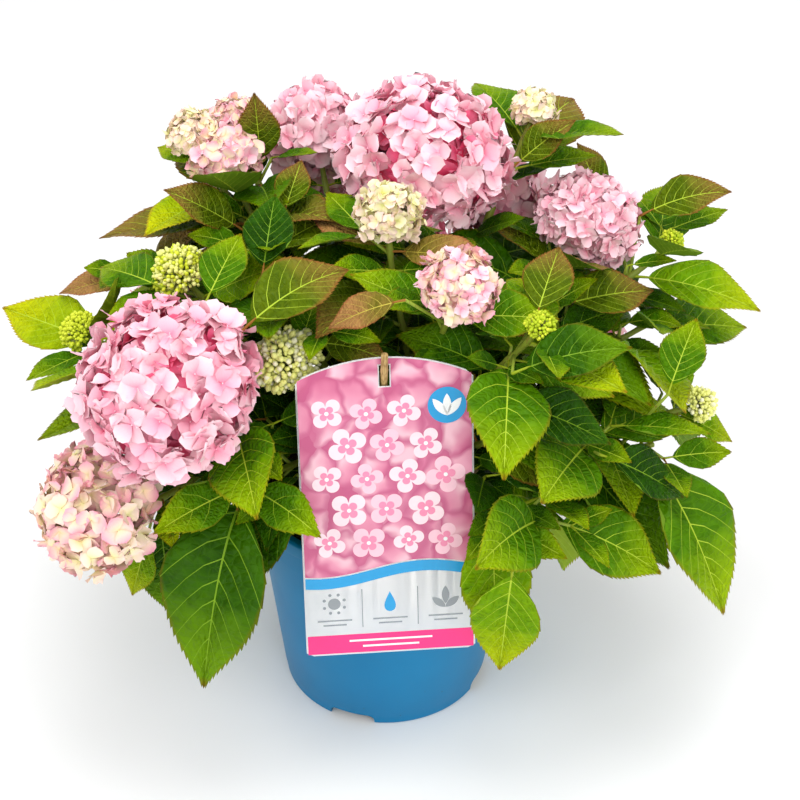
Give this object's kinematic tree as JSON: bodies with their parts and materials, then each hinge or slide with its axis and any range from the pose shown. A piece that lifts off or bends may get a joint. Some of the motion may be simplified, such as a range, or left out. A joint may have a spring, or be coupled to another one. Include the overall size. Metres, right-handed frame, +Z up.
{
  "type": "potted hydrangea shrub",
  "caption": "Mophead hydrangea shrub in full leaf and bloom in a tapered round nursery pot, with a large care label leaning on the rim.",
  "frame": {"origin": "centre of the pot's flat underside, on the surface it stands on", "axes": "+Z up the pot's axis; -Y towards the front, where the label leans; +X to the right seen from the front"},
  "size_m": [0.6308, 0.5078, 0.5011],
  "materials": {
    "pot_plastic": "satin",
    "compost": "rough",
    "label_card": "gloss",
    "stake_cane": "satin",
    "bark": "matte",
    "foliage": "matte"
  },
  "bodies": {
    "root": {"pot": "pot_plastic", "compost": "compost", "plant_label": "label_card", "label_stake": "stake_cane", "cane_front_left": "bark", "cane_low_right": "bark", "cane_low_left": "bark", "cane_left": "bark", "cane_inner_left": "bark", "cane_front": "bark", "cane_back_left": "bark", "cane_low_back_left": "bark", "cane_back": "bark", "cane_top": "bark", "cane_middle": "bark", "cane_back_right": "bark", "cane_right_high": "bark", "cane_inner_right": "bark", "cane_front_right": "bark", "cane_right": "bark", "cane_low_back_right": "bark", "cane_low_back": "bark", "spray_front_left": "foliage", "spray_low_right": "foliage", "spray_low_left": "foliage", "spray_left": "foliage", "spray_inner_left": "foliage", "spray_front": "foliage", "spray_back_left": "foliage", "spray_low_back_left": "foliage", "spray_back": "foliage", "spray_top": "foliage", "spray_middle": "foliage", "spray_back_right": "foliage", "spray_right_high": "foliage", "spray_inner_right": "foliage", "spray_front_right": "foliage", "spray_right": "foliage", "spray_low_back_right": "foliage", "spray_low_back": "foliage"}
  },
  "joints": []
}
